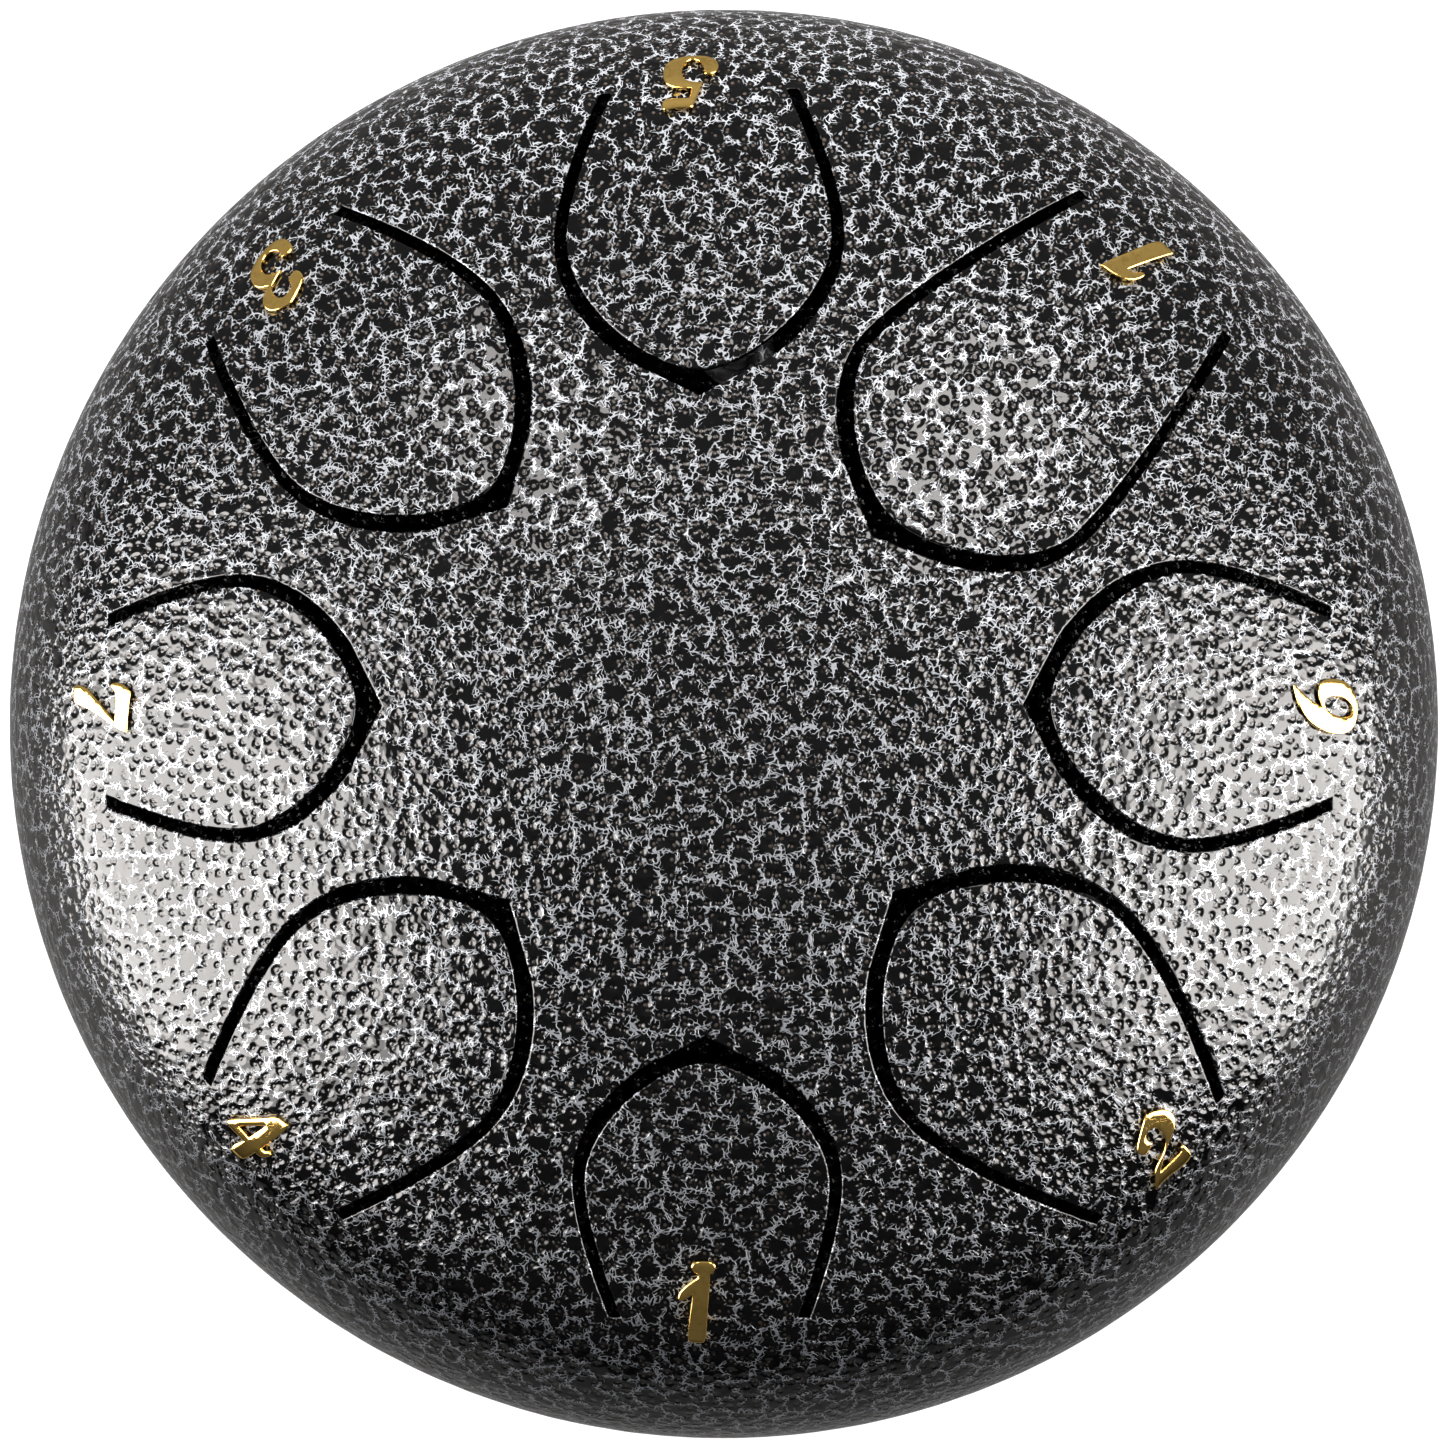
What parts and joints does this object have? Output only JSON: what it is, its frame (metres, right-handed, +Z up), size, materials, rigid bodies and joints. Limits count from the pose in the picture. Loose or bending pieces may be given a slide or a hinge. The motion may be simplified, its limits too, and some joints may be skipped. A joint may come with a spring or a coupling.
{
  "type": "steel tongue drum",
  "caption": "Small round steel tongue drum: two welded domes, tuned tongues cut into the upper one with a number at each root, a sound hole below and rubber feet.",
  "frame": {"origin": "centre of the plane that the three feet stand on, on the drum's own axis", "axes": "+Z up along the drum's axis, +X towards tongue 6, +Y towards tongue 5 and the back foot"},
  "size_m": [0.1556, 0.1556, 0.0837],
  "materials": {
    "hammer_paint": "gloss black hammertone paint with silver veins on steel sheet",
    "gold_number": "mirror gold, bevelled edges",
    "foot_rubber": "matte black rubber",
    "fastener_steel": "zinc plated steel"
  },
  "bodies": {
    "drum": {"top_shell": "hammer_paint", "bottom_shell": "hammer_paint", "rim_weld": "hammer_paint", "number_1": "gold_number", "number_2": "gold_number", "number_3": "gold_number", "number_4": "gold_number", "number_5": "gold_number", "number_6": "gold_number", "number_7": "gold_number", "number_high_1": "gold_number", "foot_back": "foot_rubber", "foot_left": "foot_rubber", "foot_right": "foot_rubber", "foot_screws": "fastener_steel", "foot_washers": "fastener_steel", "nut_washers": "fastener_steel", "foot_nuts": "fastener_steel"},
    "tongue_1": {"tongue_1": "hammer_paint"},
    "tongue_2": {"tongue_2": "hammer_paint"},
    "tongue_3": {"tongue_3": "hammer_paint"},
    "tongue_4": {"tongue_4": "hammer_paint"},
    "tongue_5": {"tongue_5": "hammer_paint"},
    "tongue_6": {"tongue_6": "hammer_paint"},
    "tongue_7": {"tongue_7": "hammer_paint"},
    "tongue_high_1": {"tongue_high_1": "hammer_paint"}
  },
  "joints": [
    {"name": "tongue_1_flex", "type": "hinge", "parent": "drum", "child": "tongue_1", "pos_m": [0.04186, 0.04186, 0.07293], "axis": [-0.7071, 0.7071, 0], "range_deg": [-1, 1], "stiffness_Nm_per_rad": 0.3},
    {"name": "tongue_2_flex", "type": "hinge", "parent": "drum", "child": "tongue_2", "pos_m": [0.04193, -0.04193, 0.07289], "axis": [0.7071, 0.7071, 0], "range_deg": [-1, 1], "stiffness_Nm_per_rad": 0.3},
    {"name": "tongue_3_flex", "type": "hinge", "parent": "drum", "child": "tongue_3", "pos_m": [-0.04129, 0.04129, 0.0732], "axis": [-0.7071, -0.7071, 0], "range_deg": [-1, 1], "stiffness_Nm_per_rad": 0.3},
    {"name": "tongue_4_flex", "type": "hinge", "parent": "drum", "child": "tongue_4", "pos_m": [-0.04094, -0.04094, 0.07337], "axis": [0.7071, -0.7071, 0], "range_deg": [-1, 1], "stiffness_Nm_per_rad": 0.3},
    {"name": "tongue_5_flex", "type": "hinge", "parent": "drum", "child": "tongue_5", "pos_m": [-0.00102, 0.05839, 0.0732], "axis": [-0.9998, -0.0175, 0], "range_deg": [-1, 1], "stiffness_Nm_per_rad": 0.3},
    {"name": "tongue_6_flex", "type": "hinge", "parent": "drum", "child": "tongue_6", "pos_m": [0.0578, 0, 0.07341], "axis": [0, 1, 0], "range_deg": [-1, 1], "stiffness_Nm_per_rad": 0.3},
    {"name": "tongue_7_flex", "type": "hinge", "parent": "drum", "child": "tongue_7", "pos_m": [-0.0565, 0, 0.07385], "axis": [0, -1, 0], "range_deg": [-1, 1], "stiffness_Nm_per_rad": 0.3},
    {"name": "tongue_high_1_flex", "type": "hinge", "parent": "drum", "child": "tongue_high_1", "pos_m": [0, -0.0563, 0.07391], "axis": [1, 0, 0], "range_deg": [-1, 1], "stiffness_Nm_per_rad": 0.3}
  ]
}
